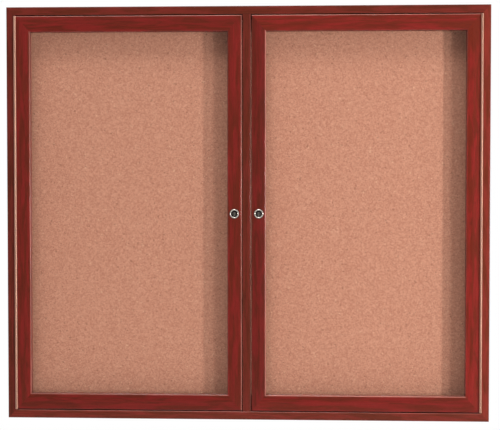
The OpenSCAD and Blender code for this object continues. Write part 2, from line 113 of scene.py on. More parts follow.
def endMaterial(add, values):
    add("ShaderNodeOutputMaterial", {"Surface": add("ShaderNodeBsdfPrincipled", values)})


def newTree(name, inputs):
    tree = bpy.data.node_groups.new(name, "GeometryNodeTree")
    tree.interface.new_socket("Geometry", in_out="INPUT", socket_type="NodeSocketGeometry")
    for label, kind in inputs.items():
        tree.interface.new_socket(label, in_out="INPUT", socket_type="NodeSocket" + kind)
    tree.interface.new_socket("Geometry", in_out="OUTPUT", socket_type="NodeSocketGeometry")
    return tree, tree.nodes.new("NodeGroupInput").outputs, partial(addNode, tree)


def endTree(add, geometry, material):
    real = add("GeometryNodeRealizeInstances", {"Geometry": geometry})
    painted = add("GeometryNodeSetMaterial", {"Geometry": real, "Material": material})
    add("NodeGroupOutput", {0: painted})


def newObject(name, data):
    piece = bpy.data.objects.new(name, data)
    data.name = name
    scene.collection.objects.link(piece)
    return piece


def dropObjects(*pieces):
    for piece in pieces:
        bpy.data.objects.remove(piece)


def newMesh(points, edges=(), faces=()):
    mesh = bpy.data.meshes.new("mesh")
    mesh.from_pydata(points, edges, faces)
    return mesh


def meshOf(shape):
    mesh = bpy.data.meshes.new("mesh")
    shape.to_mesh(mesh)
    shape.free()
    return mesh


# Doubles merged, faces outwards, and smooth except over edges sharper than the angle
def closeMesh(mesh, sharpAngle=32):
    shape = bmesh.new()
    shape.from_mesh(mesh)
    bmesh.ops.remove_doubles(shape, verts=shape.verts, dist=weld)
    bmesh.ops.recalc_face_normals(shape, faces=shape.faces)
    shape.to_mesh(mesh)
    shape.free()
    mesh.shade_smooth()
    mesh.set_sharp_from_angle(angle=math.radians(sharpAngle))
    return mesh


def evaluatedMesh(piece):
    depsgraph = bpy.context.evaluated_depsgraph_get()
    return bpy.data.meshes.new_from_object(piece.evaluated_get(depsgraph))


def bakePiece(piece, sharpAngle=32):
    mesh = evaluatedMesh(piece)
    piece.modifiers.clear()
    piece.data = closeMesh(mesh, sharpAngle)
    return piece


# Runs a tree on a base mesh and keeps the result as a plain mesh
def growPiece(name, tree, base, values, sharpAngle=32):
    piece = newObject(name, base)
    modifier = piece.modifiers.new(tree.name, "NODES")
    modifier.node_group = tree
    for socket in tree.interface.items_tree:
        if socket.in_out == "INPUT" and socket.name in values:
            modifier[socket.identifier] = values[socket.name]
    return bakePiece(piece, sharpAngle)


def carveMesh(mesh, tool, operation="DIFFERENCE"):
    piece, cutter = newObject("carved", mesh), newObject("cutter", tool)
    modifier = piece.modifiers.new("carve", "BOOLEAN")
    modifier.object = cutter
    modifier.operation = operation
    modifier.solver = "MANIFOLD"
    carved = bakePiece(piece).data
    dropObjects(piece, cutter)
    return carved


def joinPieces(name, parts):
    shape = bmesh.new()
    for part in parts:
        shape.from_mesh(part.data)
    mesh = meshOf(shape)
    for slot in parts[0].data.materials:
        mesh.materials.append(slot)
    dropObjects(*parts)
    return newObject(name, closeMesh(mesh))


def paintPiece(piece, material):
    piece.data.materials.clear()
    piece.data.materials.append(material)
    return piece


def keepPiece(piece, body, slot, *replaced):
    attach(piece, body)
    if replaced:
        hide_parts(*replaced)


# A piece is named as its CAD node is, in camelCase
def pieceName(node):
    first, *others = node.split("_")
    return first + "".join(word.capitalize() for word in others)


def pointMesh(places):
    return newMesh([Vector(p) * mm for p in places])


# Arrises are (x, y, reach, highlight), and the points well within the reach carry the painted highlight, a
# paler colour on arrises that face the lamps
def sectionMesh(outline, arrises=()):
    points = len(outline)
    mesh = newMesh([(x * mm, y * mm, 0) for x, y in outline], [(i, (i + 1) % points) for i in range(points)])
    # Painted highlight: a per-point amount that pales the arrises facing the lamps
    wear = mesh.attributes.new("wear", "FLOAT", "POINT")
    for i, (x, y) in enumerate(outline):
        for arrisX, arrisY, reach, amount in arrises:
            if math.hypot(x - arrisX, y - arrisY) < reach * 0.85:
                wear.data[i].value = amount
    return mesh


# An outline in mm from corners (x, y, radius), with a point held close to each end of an arc so that
# the flats beside it shade flat
def roundCorners(corners, steps=5):
    outline = []
    for i, (x, y, radius) in enumerate(corners):
        here = Vector((x, y))
        if not radius:
            outline.append(here)
            continue
        back = (Vector(corners[i - 1][:2]) - here).normalized()
        ahead = (Vector(corners[(i + 1) % len(corners)][:2]) - here).normalized()
        half = math.acos(max(-1, min(1, back.dot(ahead)))) / 2
        reach = radius / math.tan(half)
        centre = here + (back + ahead).normalized() * radius / math.sin(half)
        first = here + back * reach - centre
        last = here + ahead * reach - centre
        turn = math.atan2(first.x * last.y - first.y * last.x, first.dot(last))
        hold = min(0.25, radius / 2)
        outline.append(here + back * (reach + hold))
        for k in range(steps + 1):
            a = turn * k / steps
            outline.append(centre + Vector((first.x * math.cos(a) - first.y * math.sin(a),
                                            first.x * math.sin(a) + first.y * math.cos(a))))
        outline.append(here + ahead * (reach + hold))
    return outline


# Rows (radius, height) in mm turned about Z. A row of radius 0 is a pole, and rows without poles close
# on themselves round a bore. shape(angle, radius, height) may change a radius, as for flats and threads
def latheMesh(rows, steps=48, shape=None):
    points, rings, faces = [], [], []
    for radius, height in rows:
        if radius == 0:
            rings.append([len(points)] * steps)
            points.append((0, 0, height * mm))
            continue
        rings.append(list(range(len(points), len(points) + steps)))
        for k in range(steps):
            angle = 2 * math.pi * k / steps
            r = shape(angle, radius, height) if shape else radius
            points.append((r * math.cos(angle) * mm, r * math.sin(angle) * mm, height * mm))
    bored = rows[0][0] > 0
    for i in range(len(rings) if bored else len(rings) - 1):
        low, high = rings[i], rings[(i + 1) % len(rings)]
        for k in range(steps):
            n = (k + 1) % steps
            face = list(dict.fromkeys((low[k], low[n], high[n], high[k])))
            if len(face) > 2:
                faces.append(face)
    return closeMesh(newMesh(points, faces=faces))


def boxMesh(boxes, arris=0):
    shape = bmesh.new()
    for low, high in boxes:
        low, high = Vector(low) * mm, Vector(high) * mm
        made = bmesh.ops.create_cube(shape, size=1)
        bmesh.ops.scale(shape, vec=high - low, verts=made["verts"])
        bmesh.ops.translate(shape, vec=(low + high) / 2, verts=made["verts"])
    if arris:
        bmesh.ops.bevel(shape, geom=list(shape.edges), offset=arris * mm, segments=2, affect="EDGES",
                        profile=0.5)
    return closeMesh(meshOf(shape), 20)


# A plate in the XY plane from closed outlines in mm, the inner ones being holes, with its arrises broken
def plateMesh(outlines, low, high, arris):
    curve = bpy.data.curves.new("plate", "CURVE")
    curve.dimensions = "2D"
    curve.fill_mode = "BOTH"
    for outline in outlines:
        spline = curve.splines.new("POLY")
        spline.points.add(len(outline) - 1)
        for point, (x, y) in zip(spline.points, outline):
            point.co = (x * mm, y * mm, 0, 1)
        spline.use_cyclic_u = True
    curve.extrude = (high - low) / 2 * mm - arris * mm
    curve.bevel_depth = arris * mm
    curve.bevel_resolution = 1
    curve.offset = -arris * mm
    holder = newObject("plate", curve)
    mesh = evaluatedMesh(holder)
    dropObjects(holder)
    mesh.transform(Matrix.Translation((0, 0, (low + high) / 2 * mm)))
    return closeMesh(mesh)


def arc(radius, centre, start, end, steps):
    angles = [math.radians(start + (end - start) * k / steps) for k in range(steps + 1)]
    return [(centre[0] + radius * math.cos(a), centre[1] + radius * math.sin(a)) for a in angles]


# Sizes in mm across the board twice and along it
grainSizes = {
    "streak": (1.9, 1.9, 60),     # light and dark lines, drawn a little coarser than real
    "figure": (10, 10, 80),       # bands of the growth rings, browner or redder
    "pore": (0.9, 0.9, 11),       # short dark dashes of open pores
}
cherryTones = {"cabinetCherry": ("#6a2612", "#802a1e"), "doorCherry": ("#702210", "#8a211a")}
# The pale colour below is a painted highlight for the arrises that face the lamps
cherryLook = {"contrast": 0.13, "pore": "#340c07", "paintedHighlight": "#d68876", "poreDepth": 0.06}
lacquer = {"Roughness": 0.45, "Specular IOR Level": 0.12, "Coat Weight": 0.8, "Coat Roughness": 0.17,
           "Coat IOR": 1.5}


# Cherry-stained hardwood under sprayed gloss lacquer: brown and red bands and fine streaks along each
# member, and soft reflections. A painted highlight makes the arrises that face the lamps paler
def cherryWood(name, brown, red):
    material, add = newMaterial(name)
    place = add("ShaderNodeAttribute", attribute_name="grain").outputs["Vector"]
    shade = add("ShaderNodeAttribute", attribute_name="shade").outputs["Fac"]
    wear = add("ShaderNodeAttribute", attribute_name="wear").outputs["Fac"]
    streak = addPattern(add, "ShaderNodeTexNoise", grainSizes["streak"], place, Detail=3.0, Roughness=0.6)
    figure = addPattern(add, "ShaderNodeTexNoise", grainSizes["figure"], place, Detail=2.0, Distortion=0.7)
    pore = addPattern(add, "ShaderNodeTexNoise", grainSizes["pore"], place, Detail=1.0)
    band = add("ShaderNodeMapRange", {"Value": figure, "From Min": 0.36, "From Max": 0.64},
               interpolation_type="SMOOTHSTEP")
    stain = add("ShaderNodeMix", {0: band, 6: hexColour(brown), 7: hexColour(red)}, data_type="RGBA")
    line = add("ShaderNodeMapRange",
               {"Value": streak, "From Min": 0.3, "From Max": 0.7,
                "To Min": 1 - cherryLook["contrast"], "To Max": 1 + cherryLook["contrast"]})
    light = add("ShaderNodeMath", {0: line, 1: shade}, operation="MULTIPLY")
    board = add("ShaderNodeVectorMath", {0: stain.outputs[2], "Scale": light}, operation="SCALE")
    hole = add("ShaderNodeMapRange",
               {"Value": pore, "From Min": 0.58, "From Max": 0.72, "To Min": 0.0, "To Max": 0.35})
    pored = add("ShaderNodeMix", {0: hole, 6: board, 7: hexColour(cherryLook["pore"])}, data_type="RGBA")
    patchy = add("ShaderNodeMapRange",
                 {"Value": figure, "From Min": 0.3, "From Max": 0.6, "To Min": 0.55, "To Max": 1.0})
    # Painted highlight: arrises given in boardLooks mix towards a pale colour, patchy along the figure
    paintedHighlight = add("ShaderNodeMath", {0: wear, 1: patchy}, operation="MULTIPLY")
    colour = add("ShaderNodeMix",
                 {0: paintedHighlight, 6: pored.outputs[2], 7: hexColour(cherryLook["paintedHighlight"])}, data_type="RGBA")
    bump = add("ShaderNodeBump",
               {"Height": hole, "Strength": 0.25, "Distance": cherryLook["poreDepth"] * mm}, invert=True)
    endMaterial(add, {**lacquer, "Base Color": colour.outputs[2], "Normal": bump})
    return material


corkLook = {"granule": 2.8, "fine": 1.2, "fleck": 3.4, "relief": 0.22, "bark": "#7b4a36", "chip": "#f0c6a6"}


# Natural composition cork, sanded: pale granules of 1 to 3 mm pressed together, with a few dark bits of
# bark and a few paler chips
def compositionCork(name):
    material, add = newMaterial(name)
    granule, fine, fleck = [addPattern(add, "ShaderNodeTexVoronoi", [corkLook[size]] * 3)
                            for size in ("granule", "fine", "fleck")]
    coarseTone, fineTone, lots = [add("ShaderNodeSeparateColor", {0: cells.outputs["Color"]})
                                  for cells in (granule, fine, fleck)]
    tone = add("ShaderNodeMix", {0: 0.4, 2: coarseTone, 3: fineTone}, data_type="FLOAT")
    ramp = setRamp(add("ShaderNodeValToRGB", {"Fac": tone}),
                   [(0.1, "#c1806a"), (0.5, "#d19077"), (0.93, "#dfa38a")])
    bark = add("ShaderNodeMapRange", {"Value": lots.outputs[1], "From Min": 0.013,
                                      "From Max": 0.008, "To Min": 0.0, "To Max": 0.38})
    chip = add("ShaderNodeMapRange", {"Value": lots.outputs[1], "From Min": 0.988,
                                      "From Max": 0.993, "To Min": 0.0, "To Max": 0.4})
    flecked = add("ShaderNodeMix", {0: bark, 6: ramp, 7: hexColour(corkLook["bark"])}, data_type="RGBA")
    colour = add("ShaderNodeMix", {0: chip, 6: flecked.outputs[2], 7: hexColour(corkLook["chip"])},
                 data_type="RGBA")
    bump = add("ShaderNodeBump", {"Height": granule.outputs["Distance"], "Strength": 0.5,
                                  "Distance": corkLook["relief"] * mm}, invert=True)
    endMaterial(add, {"Roughness": 0.85, "Specular IOR Level": 0.25,
                      "Base Color": colour.outputs[2], "Normal": bump})
    return material


# Metals: rolled, plated or polished, with a roughness that varies a little over the surface
def platedMetal(name, tone, roughness, spread, size):
    material, add = newMaterial(name)
    mottle = addPattern(add, "ShaderNodeTexNoise", size, Detail=3.0)
    uneven = add("ShaderNodeMapRange",
                 {"Value": mottle, "From Min": 0.3, "From Max": 0.7, "To Min": roughness - spread,
                  "To Max": roughness + spread})
    endMaterial(add, {"Base Color": hexColour(tone), "Metallic": 1.0, "Roughness": uneven})
    return material


# Dull sheet goods and fibre: two tones mottled at the fibres' size, and a fine tooth
def fibrousSheet(name, darkTone, lightTone, size, tooth, sheen=0.0):
    material, add = newMaterial(name)
    fibre = addPattern(add, "ShaderNodeTexNoise", size, Detail=4.0, Roughness=0.65, Distortion=0.6)
    ramp = setRamp(add("ShaderNodeValToRGB", {"Fac": fibre}), [(0.3, darkTone), (0.7, lightTone)])
    bump = add("ShaderNodeBump", {"Height": fibre, "Strength": 0.4, "Distance": tooth * mm})
    endMaterial(add, {"Roughness": 0.8, "Sheen Weight": sheen, "Base Color": ramp, "Normal": bump})
    return material


# Clear float glass: a faint green tint, and a mirror image that grows at a glancing angle. A ray passes
# straight through both faces
def floatGlass(name, tint, index):
    material, add = newMaterial(name)
    through = add("ShaderNodeBsdfTransparent", {"Color": hexColour(tint)})
    mirror = add("ShaderNodeBsdfGlossy", {"Roughness": 0.02})
    inside = add("ShaderNodeNewGeometry").outputs["Backfacing"]
    bend = add("ShaderNodeMix", {0: inside, 2: index, 3: 1 / index}, data_type="FLOAT")
    gloss = add("ShaderNodeFresnel", {"IOR": bend})
    glass = add("ShaderNodeMixShader", {0: gloss, 1: through, 2: mirror})
    add("ShaderNodeOutputMaterial", {"Surface": glass})
    return material


cabinetCherry, doorCherry = [cherryWood(name, *tones) for name, tones in cherryTones.items()]
cork = compositionCork("compositionCork")
satinBrass = platedMetal("satinBrass", "#cc9a84", 0.42, 0.06, (3, 3, 40))
zincSteel = platedMetal("zincSteel", "#bfc2c6", 0.36, 0.1, (6, 6, 6))
wireSteel = platedMetal("drawnWireSteel", "#a9acb0", 0.3, 0.08, (1.5, 1.5, 8))
waferBrass = platedMetal("stampedBrass", "#cfa662", 0.35, 0.06, (2, 2, 2))
rawBirch = fibrousSheet("rawBirch", "#b98f5c", "#d6b485", (1.5, 12, 12), 0.05)
hardboard = fibrousSheet("temperedHardboard", "#6b4b33", "#8a6446", (2.5, 2.5, 2.5), 0.05)
fibreboard = fibrousSheet("softFibreboard", "#a8977f", "#c7b89f", (1.6, 1.6, 1.6), 0.2)
felt = fibrousSheet("woolFelt", "#2b2b2d", "#47474a", (0.5, 0.5, 0.5), 0.1, sheen=0.4)
glass = floatGlass("floatGlass", "#fefffe", 1.45)

# A painted shade darkens the ring sunk round the plug's face and the rim, behind the front of the lock. It
# comes in and goes out over two spans of Y, in mm
chromeLook = {"tone": "#fbf1e6", "dirt": "#2b211c", "front": (-71.2, -70.5), "back": (-66, -65)}
polishedChrome = platedMetal("polishedChrome", chromeLook["tone"], 0.07, 0.02, (4, 4, 4))
tree = polishedChrome.node_tree
add = partial(addNode, tree)
depth = add("ShaderNodeSeparateXYZ", {0: add("ShaderNodeTexCoord").outputs["Object"]})
sunk, deep = [add("ShaderNodeMapRange", {
    "Value": depth.outputs["Y"], "From Min": chromeLook[end][0] * mm, "From Max": chromeLook[end][1] * mm,
    "To Min": low, "To Max": 1.0 - low}) for end, low in (("front", 0.0), ("back", 1.0))]
# Painted shade mask: the recess and rim are mixed towards the dark colour
dirt = add("ShaderNodeMath", {0: sunk, 1: deep}, operation="MULTIPLY")
tone = add("ShaderNodeMix",
           {0: dirt, 6: hexColour(chromeLook["tone"]), 7: hexColour(chromeLook["dirt"])}, data_type="RGBA")
tree.links.new(tone.outputs[2], tree.nodes["Principled BSDF"].inputs["Base Color"])
print("stage: materials made")


memberTree, given, add = newTree("mouldedMember", {
    "Length": "Float", "Mitre": "Float", "Turn": "Float", "Place": "Vector", "Wood Offset": "Vector",
    "Shade": "Float", "Cutters": "Object", "Drilled": "Bool", "Material": "Material"})
# The section is swept along one metre. Then each end moves out to the length, and slopes by the mitre
path = add("GeometryNodeCurvePrimitiveLine", {"Start": (0, 0, -0.5), "End": (0, 0, 0.5)})
section = add("GeometryNodeMeshToCurve", {0: given["Geometry"]})
bar = add("GeometryNodeCurveToMesh", {"Curve": path, "Profile Curve": section, "Fill Caps": True})
spot = add("ShaderNodeSeparateXYZ", {0: add("GeometryNodeInputPosition")})
square = add("ShaderNodeMath", {0: spot.outputs["Z"], 1: given["Length"]}, operation="MULTIPLY")
end = add("ShaderNodeMath", {0: spot.outputs["Z"]}, operation="SIGN")
slope = add("ShaderNodeMath", {0: spot.outputs["X"], 1: given["Mitre"]}, operation="MULTIPLY")
cutBack = add("ShaderNodeMath", {0: slope, 1: end}, operation="MULTIPLY")
along = add("ShaderNodeMath", {0: square, 1: cutBack}, operation="SUBTRACT")
mitred = add("GeometryNodeSetPosition", {
    "Geometry": bar, "Position": add("ShaderNodeCombineXYZ", {
        "X": spot.outputs["X"], "Y": spot.outputs["Y"], "Z": along})})
turned = add("GeometryNodeTransform", {
    "Geometry": mitred, "Translation": given["Place"],
    "Rotation": add("ShaderNodeCombineXYZ", {"Y": given["Turn"]})})
tools = add("GeometryNodeObjectInfo", {"Object": given["Cutters"]})
drilled = add("GeometryNodeMeshBoolean", {"Mesh 1": turned, "Mesh 2": tools.outputs["Geometry"]},
              operation="DIFFERENCE", solver="MANIFOLD")
chosen = add("GeometryNodeSwitch", {"Switch": given["Drilled"], "False": turned, "True": drilled},
             input_type="GEOMETRY")
# The grain runs along each member as it lay before it was turned, in its own part of the pattern
home = add("ShaderNodeVectorMath",
           {0: add("GeometryNodeInputPosition"), 1: given["Place"]}, operation="SUBTRACT")
straight = add("ShaderNodeVectorRotate", {"Vector": home, "Angle": given["Turn"]},
               rotation_type="Y_AXIS", invert=True)
ownWood = add("ShaderNodeVectorMath", {0: straight, 1: given["Wood Offset"]}, operation="ADD")
marked = add("GeometryNodeStoreNamedAttribute",
             {"Geometry": chosen, "Name": "grain", "Value": ownWood}, data_type="FLOAT_VECTOR")
toned = add("GeometryNodeStoreNamedAttribute",
            {"Geometry": marked, "Name": "shade", "Value": given["Shade"]}, data_type="FLOAT")
endTree(add, toned, given["Material"])

turns = {"left": 0.0, "top": 90.0, "right": 180.0, "bottom": -90.0}
# Each board took the stain in its own way, lighter or darker. The second and third numbers say how strongly a
# highlight is painted on its outer and inner arris, set where the arris faces up or right, towards the lamps
boardLooks = {
    "cabinetTopRail": (0.85, 0, 0), "cabinetBottomRail": (0.93, 0, 0.3), "cabinetLeftSide": (0.72, 0, 0),
    "cabinetRightSide": (1.17, 0, 0), "centreMullion": (0.79, 0, 0.1),
    "leftDoorTopRail": (0.83, 0.7, 0), "leftDoorBottomRail": (0.77, 0, 0.3),
    "leftDoorHingeStile": (0.82, 0, 0.3), "leftDoorLockStile": (0.85, 0.85, 0),
    "rightDoorTopRail": (0.98, 1.0, 0), "rightDoorBottomRail": (0.86, 0, 0.55),
    "rightDoorHingeStile": (1.07, 0, 0), "rightDoorLockStile": (0.7, 0, 0.6),
    "strip": (0.95, 0, 0), "bead": (0.95, 0, 0)}
woodStep = (0.173, 0.091, 1.31)    # metres between the boards' places in the pattern
boardNumbers = count(1)


# A copy of the fasteners' own shapes, and other tools, for cutting their holes
def cutterObject(names, extra):
    total = bmesh.new()
    for name in names:
        one = bmesh.new()
        one.from_mesh(nodes[name].data)
        bmesh.ops.remove_doubles(one, verts=one.verts, dist=weld)
        total.from_mesh(meshOf(one))
    for mesh in extra:
        total.from_mesh(mesh)
    return newObject("tool", meshOf(total))


# A member whose section, in mm, runs in from the outer edge and back from the front, along one side of
# the box between two corners
def sweepMember(name, outline, place, box, mitre, material, cutBy=(), extra=(), shorter=0, arrises=()):
    number = next(boardNumbers)
    low, high = Vector(box[0]), Vector(box[1])
    middle = (low + high) / 2
    spots = {"left": (low.x, low.y, middle.z), "right": (high.x, low.y, middle.z),
             "top": (middle.x, low.y, high.z), "bottom": (middle.x, low.y, low.z)}
    length = high.z - low.z if place in ("left", "right") else high.x - low.x
    values = {"Length": length - shorter * mm, "Mitre": mitre, "Turn": math.radians(turns[place]),
              "Place": spots[place], "Material": material, "Shade": boardLooks[name][0],
              "Wood Offset": [number * step for step in woodStep], "Drilled": bool(cutBy or extra)}
    if values["Drilled"]:
        values["Cutters"] = cutterObject(cutBy, extra)
    piece = growPiece(name, memberTree, sectionMesh(outline, arrises), values)
    if values["Drilled"]:
        dropObjects(values["Cutters"])
    return piece


cabinet = {"width": 1067, "height": 914, "member": 18, "depth": 70, "backDepth": 15, "rebate": 9,
           "arris": 1.5, "mullionDepth": 24, "stopWide": 10, "stopDeep": 9, "stopGap": 18}
member, step = cabinet["member"], cabinet["depth"] - cabinet["backDepth"]
cabinetSection = roundCorners([
    (0, 0, cabinet["arris"]), (member, 0, cabinet["arris"]), (member, step, 0.3),
    (member - cabinet["rebate"], step, 0), (member - cabinet["rebate"], cabinet["depth"], 0.3),
    (0, cabinet["depth"], 0.6)])
mullionSection = roundCorners([
    (0, 0, cabinet["arris"]), (member, 0, cabinet["arris"]), (member, cabinet["mullionDepth"], 0.5),
    (0, cabinet["mullionDepth"], 0.5)])
shared = ["back_panel_screws", "cabinet_corner_splines"]
cabinetMembers = {
    "cabinet_top_rail": ("top", cabinetSection, 1.0, shared + ["mullion_dowels"]),
    "cabinet_bottom_rail": ("bottom", cabinetSection, 1.0, shared + ["mullion_dowels"]),
    "cabinet_left_side": ("left", cabinetSection, 1.0, shared + ["left_hinge_frame_screws"]),
    "cabinet_right_side": ("right", cabinetSection, 1.0, shared + ["right_hinge_frame_screws"]),
    "centre_mullion": ("left", mullionSection, 0.0, ["mullion_dowels"])}
for node, (place, outline, mitre, cutBy) in cabinetMembers.items():
    name = pieceName(node)
    # The inner arris carries the painted highlight given in boardLooks
    arris = (member, 0, cabinet["arris"], boardLooks[name][2])
    piece = sweepMember(name, outline, place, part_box(node), mitre, cabinetCherry, cutBy, arrises=[arris])
    keepPiece(piece, "cabinet", "cabinet_wood", node)

wide, deep, halfGap = cabinet["stopWide"], cabinet["stopDeep"], cabinet["stopGap"] / 2 * mm
stopSection = roundCorners([(0, 0, 0.3), (wide, 0, 0.6), (wide, deep, 0.6), (0, deep, 0.3)], steps=3)
for place in ("top", "bottom"):
    node = place + "_door_stops"
    low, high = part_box(node)
    strips = [sweepMember("strip", stopSection, place, box, 0.0, cabinetCherry)
              for box in ((low, (-halfGap, *high[1:])), ((halfGap, *low[1:]), high))]
    keepPiece(joinPieces(pieceName(node), strips), "cabinet", "cabinet_wood", node)
print("stage: cabinet members swept")

door = {"thickness": 19, "stile": 31.5, "rail": 35, "flat": 18, "drop": 1.3, "lip": 3.2, "lipRadius": 2.5,
        "paneAt": 8.5, "rebate": 5.5, "arris": 1.5, "bead": 5.4, "beadDepth": 7.5, "beadShorter": 0.2}
# Reach of the painted highlight about the outer arris, the lip's round, the reveal behind it and the bead's
# front
highlightSpots = {"outer": 1.65, "round": 2.75, "reveal": 4.0, "revealAt": 4.2, "bead": 3.6, "beadAt": 3}


# The front of a rail is the stile's front stretched, so that the mouldings meet in the mitre
def doorSection(width):
    stile, paneAt, inner = door["stile"], door["paneAt"], width - door["rebate"]
    front = roundCorners([
        (0, 0, door["arris"]), (door["flat"], 0, 1.2), (stile - door["lip"], door["drop"], 0.8),
        (stile, door["drop"], door["lipRadius"]), (stile, paneAt, 0), (0, paneAt, 0)])[:-2]
    back = roundCorners([(0, paneAt, 0), (width, paneAt, 0), (inner, paneAt, 0),
                         (inner, door["thickness"], 0.3), (0, door["thickness"], 0.8)])[1:]
    return [(x * width / stile, y) for x, y in front] + back


lockHole = {"x": 27, "radius": 8.65, "flat": 7.65, "front": -71, "back": -50, "steps": 64}


# The bore for a lock body, round with two flats, cut a little past both faces of the stile
def lockBore(x):
    flat, steps = lockHole["flat"], lockHole["steps"]
    outline = [(max(-flat, min(flat, px)), pz)
               for px, pz in arc(lockHole["radius"], (0, 0), 0, 360, steps)[:-1]]
    shape = bmesh.new()
    rings = [[shape.verts.new(((x + px) * mm, y * mm, pz * mm)) for px, pz in outline]
             for y in (lockHole["front"], lockHole["back"])]
    shape.faces.new(rings[0])
    shape.faces.new(reversed(rings[1]))
    for i in range(steps):
        n = (i + 1) % steps
        shape.faces.new((rings[0][i], rings[1][i], rings[1][n], rings[0][n]))
    bmesh.ops.recalc_face_normals(shape, faces=shape.faces)
    return meshOf(shape)


beadSection = roundCorners([(0, 0, 0.2), (door["bead"], 0, 0), (door["bead"], door["beadDepth"], 1.5),
                            (0, door["beadDepth"], 0.2)])
for side, other, sign in (("left", "right", -1), ("right", "left", 1)):
    body = side + "_door"
    splines, brads = [body + "_corner_splines"], [body + "_bead_brads"]
    hingeScrews, bore = [side + "_hinge_door_screws"], [lockBore(sign * lockHole["x"])]
    places = {"top": ("top_rail", door["rail"], door["stile"], [], ()),
              "bottom": ("bottom_rail", door["rail"], door["stile"], [], ()),
              side: ("hinge_stile", door["stile"], door["rail"], hingeScrews, ()),
              other: ("lock_stile", door["stile"], door["rail"], [], bore)}
    for place, (part, width, crossWidth, screws, extra) in places.items():
        node = f"{body}_{part}"
        name = pieceName(node)
        # The outer and inner numbers paint a highlight on the arrises and lips that face the lamps
        outer, inner = boardLooks[name][1:]
        arrises = [(0, 0, highlightSpots["outer"], outer), (width, door["drop"], highlightSpots["round"], inner),
                   (width, door["drop"] + highlightSpots["revealAt"], highlightSpots["reveal"], inner)]
        piece = sweepMember(name, doorSection(width), place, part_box(node), crossWidth / width, doorCherry,
                            splines + brads + screws, extra, arrises=arrises)
        keepPiece(piece, body, "door_wood", node)
    beads, box = [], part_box(body + "_glazing_beads")
    for place in turns:
        # A bead's front carries the same painted highlight as its rail's lip
        inner = boardLooks[pieceName(f"{body}_{places[place][0]}")][2]
        arris = (door["bead"], highlightSpots["beadAt"], highlightSpots["bead"], inner)
        beads.append(sweepMember("bead", beadSection, place, box, 1.0, doorCherry, brads,
                                 shorter=door["beadShorter"], arrises=[arris]))
    keepPiece(joinPieces(side + "GlazingBeads", beads), body, "door_wood", body + "_glazing_beads")
print("stage: door members swept")


# The bumps are (size, share, layer of the noise), and the rim of the sheet's face lies a little back
corkSheet = {"pitch": 3.3, "relief": 0.06, "bumps": ((7, 1, 0), (2.6, 0.8, 5)), "lowest": 0.9, "rim": 0.35}


# The sheet's face is a grid that rises and falls by fractions of a millimetre, as pressed cork does
def corkSlab(low, high):
    columns = round((high.x - low.x) / mm / corkSheet["pitch"])
    rows = round((high.z - low.z) / mm / corkSheet["pitch"])
    points, faces = [], []
    for j in range(rows + 1):
        for i in range(columns + 1):
            x = low.x + (high.x - low.x) * i / columns
            z = low.z + (high.z - low.z) * j / rows
            rise = sum(share * noise.noise((x / mm / size, layer, z / mm / size))
                       for size, share, layer in corkSheet["bumps"])
            inner = 0 < i < columns and 0 < j < rows
            drop = corkSheet["relief"] * (corkSheet["lowest"] - rise) if inner else corkSheet["rim"]
            points.append((x, low.y + drop * mm, z))
            if i < columns and j < rows:
                a = j * (columns + 1) + i
                faces.append((a, a + 1, a + columns + 2, a + columns + 1))
    around = [i for i in range(columns + 1)]
    around += [j * (columns + 1) + columns for j in range(1, rows + 1)]
    around += [rows * (columns + 1) + i for i in range(columns - 1, -1, -1)]
    around += [j * (columns + 1) for j in range(rows - 1, 0, -1)]
    first = len(points)
    points += [(points[i][0], high.y, points[i][2]) for i in around]
    length = len(around)
    for k in range(length):
        n = (k + 1) % length
        faces.append((around[n], around[k], first + k, first + n))
    faces.append([first + k for k in range(length - 1, -1, -1)])
    return newMesh(points, faces=faces)


drillTree, given, add = newTree("drilledSheet", {
    "Holes": "Object", "Diameter": "Float", "Depth": "Float", "Material": "Material"})
spots = add("GeometryNodeObjectInfo", {"Object": given["Holes"]})
radius = add("ShaderNodeMath", {0: given["Diameter"], 1: 0.5}, operation="MULTIPLY")
drill = add("GeometryNodeMeshCylinder", {"Vertices": 32, "Radius": radius, "Depth": given["Depth"]})
drills = add("GeometryNodeInstanceOnPoints", {
    "Points": spots.outputs["Geometry"], "Instance": drill, "Rotation": (math.pi / 2, 0, 0)})
bored = add("GeometryNodeMeshBoolean",
            {"Mesh 1": given["Geometry"], "Mesh 2": add("GeometryNodeRealizeInstances", {0: drills})},
            operation="DIFFERENCE", solver="MANIFOLD")
endTree(add, bored, given["Material"])

wallHoles = {"across": 991, "up": 838, "y": -17, "diameter": 5.5, "depth": 12}
holes = newObject("holes", pointMesh([(x * wallHoles["across"] / 2, wallHoles["y"], z * wallHoles["up"] / 2)
                                      for x in (-1, 1) for z in (-1, 1)]))
piece = growPiece("corkSheet", drillTree, corkSlab(*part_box("cork_sheet")), {
    "Holes": holes, "Diameter": wallHoles["diameter"] * mm, "Depth": wallHoles["depth"] * mm,
    "Material": cork})
dropObjects(holes)
keepPiece(piece, "cabinet", "cork", "cork_sheet")

for side in ("left", "right"):
    low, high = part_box(side + "_door_pane")
    pane = newObject(side + "Pane", boxMesh([(low / mm, high / mm)], arris=0.4))
    keepPiece(paintPiece(pane, glass), side + "_door", "clear_glass", side + "_door_pane")
print("stage: cork and panes made")


